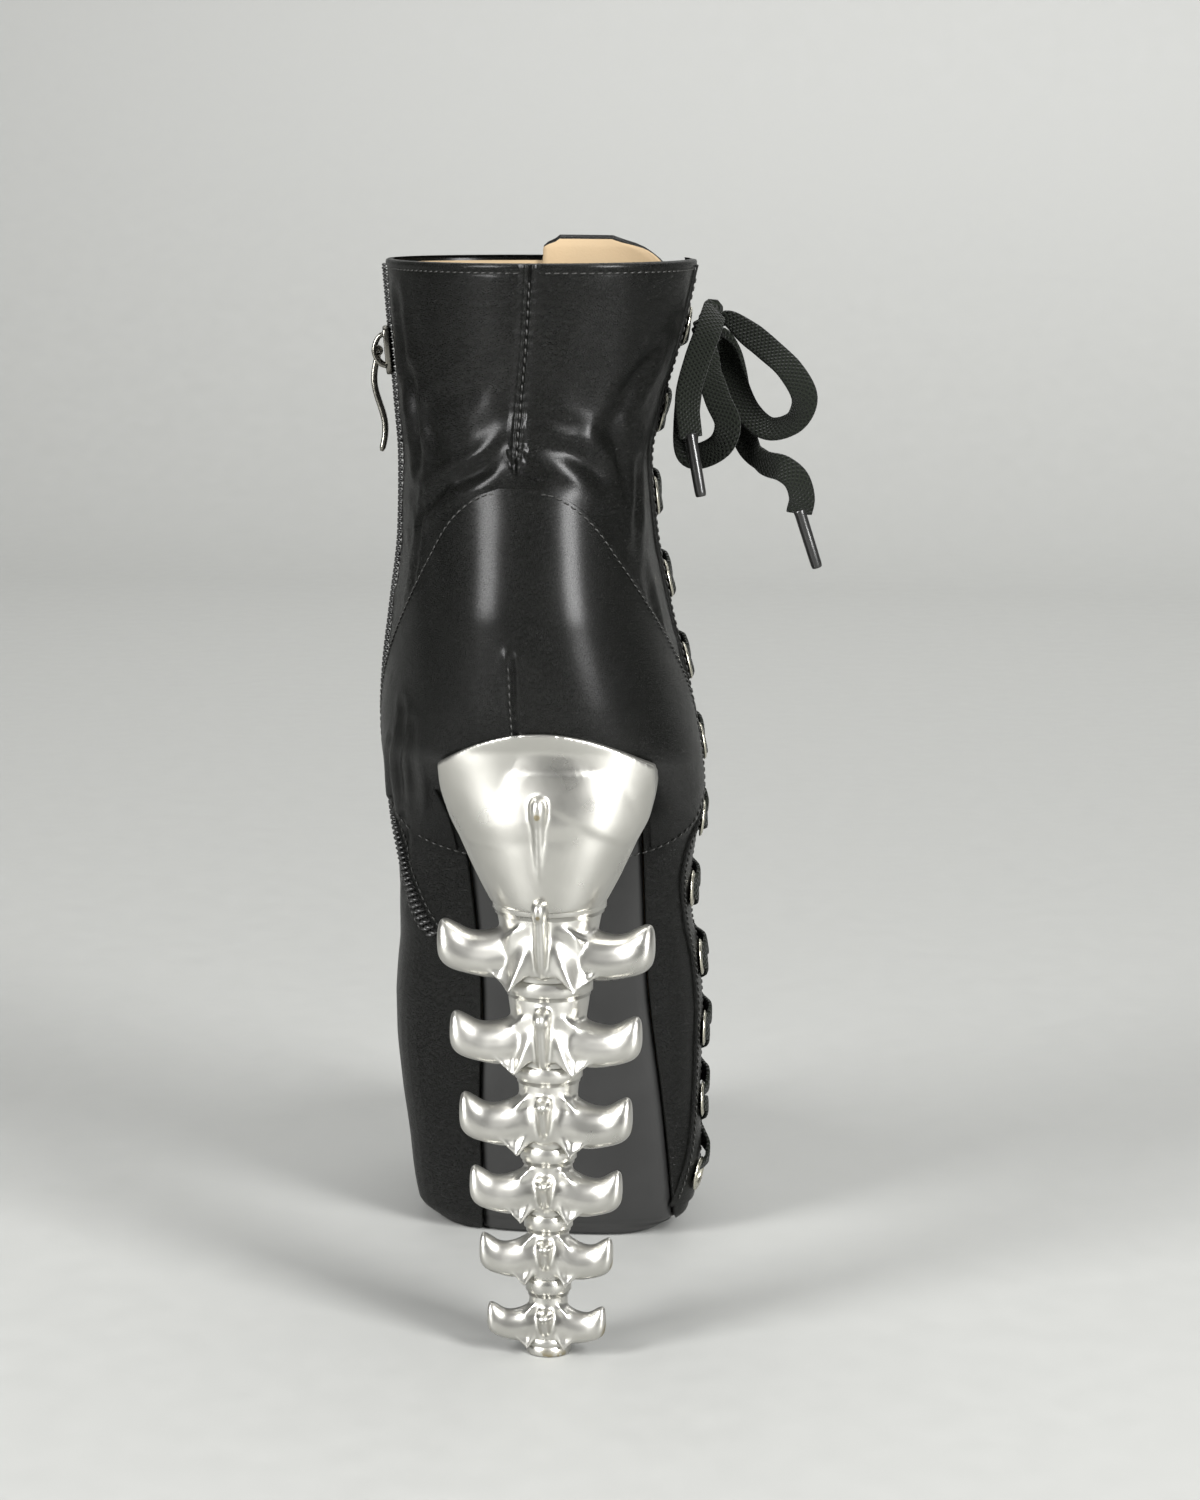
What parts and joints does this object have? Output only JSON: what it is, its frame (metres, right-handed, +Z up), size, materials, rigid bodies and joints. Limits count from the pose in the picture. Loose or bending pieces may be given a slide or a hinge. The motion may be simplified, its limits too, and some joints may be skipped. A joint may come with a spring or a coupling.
{
  "type": "heeled boot",
  "caption": "Right-foot black leather lace-up platform ankle boot with a side zip and a silver heel shaped as a spine.",
  "frame": {"origin": "centre of the heel tip's flat foot, on the floor", "axes": "+Y to the toe, +X to the outer side of the foot, +Z up"},
  "size_m": [0.1332, 0.2143, 0.2935],
  "materials": {
    "upper_leather": "fine grained black leather, satin",
    "sole_black": "smooth black sole covering, satin",
    "lining_leather": "tan lining leather, matte",
    "heel_plating": "pale warm silver plating, satin gloss",
    "eyelet_nickel": "pale gold nickel, worn",
    "zip_black": "black woven zip tape with black coil",
    "zip_gunmetal": "dark gunmetal, satin",
    "lace_cotton": "flat black woven cotton, matte",
    "aglet_black": "black plastic tip"
  },
  "bodies": {
    "boot": {"upper": "upper_leather", "sole": "sole_black", "insole": "lining_leather", "tongue": "upper_leather", "heel": "heel_plating", "heel_tip": "heel_plating", "zip_tape": "zip_black", "zip_slider": "zip_gunmetal", "eyelet_outer_01": "eyelet_nickel", "eyelet_front_01": "eyelet_nickel", "eyelet_outer_02": "eyelet_nickel", "eyelet_front_02": "eyelet_nickel", "eyelet_outer_03": "eyelet_nickel", "eyelet_front_03": "eyelet_nickel", "eyelet_outer_04": "eyelet_nickel", "eyelet_front_04": "eyelet_nickel", "eyelet_outer_05": "eyelet_nickel", "eyelet_front_05": "eyelet_nickel", "eyelet_outer_06": "eyelet_nickel", "eyelet_front_06": "eyelet_nickel", "eyelet_outer_07": "eyelet_nickel", "eyelet_front_07": "eyelet_nickel", "eyelet_outer_08": "eyelet_nickel", "eyelet_front_08": "eyelet_nickel", "eyelet_outer_09": "eyelet_nickel", "eyelet_front_09": "eyelet_nickel", "eyelet_outer_10": "eyelet_nickel", "eyelet_front_10": "eyelet_nickel", "eyelet_outer_11": "eyelet_nickel", "eyelet_front_11": "eyelet_nickel", "eyelet_outer_12": "eyelet_nickel", "eyelet_front_12": "eyelet_nickel", "lace_crossings": "lace_cotton", "lace_knot": "lace_cotton", "lace_loop_1": "lace_cotton", "lace_loop_2": "lace_cotton", "lace_end_1": "lace_cotton", "lace_end_2": "lace_cotton", "aglet_1": "aglet_black", "aglet_2": "aglet_black"},
    "zip_pull": {"zip_pull": "zip_gunmetal"}
  },
  "joints": [
    {"name": "zip_pull_swing", "type": "hinge", "parent": "boot", "child": "zip_pull", "pos_m": [-0.05099, 0.03529, 0.26364], "axis": [-0.1557, 0.9878, 0], "range_deg": [0, 150]}
  ]
}
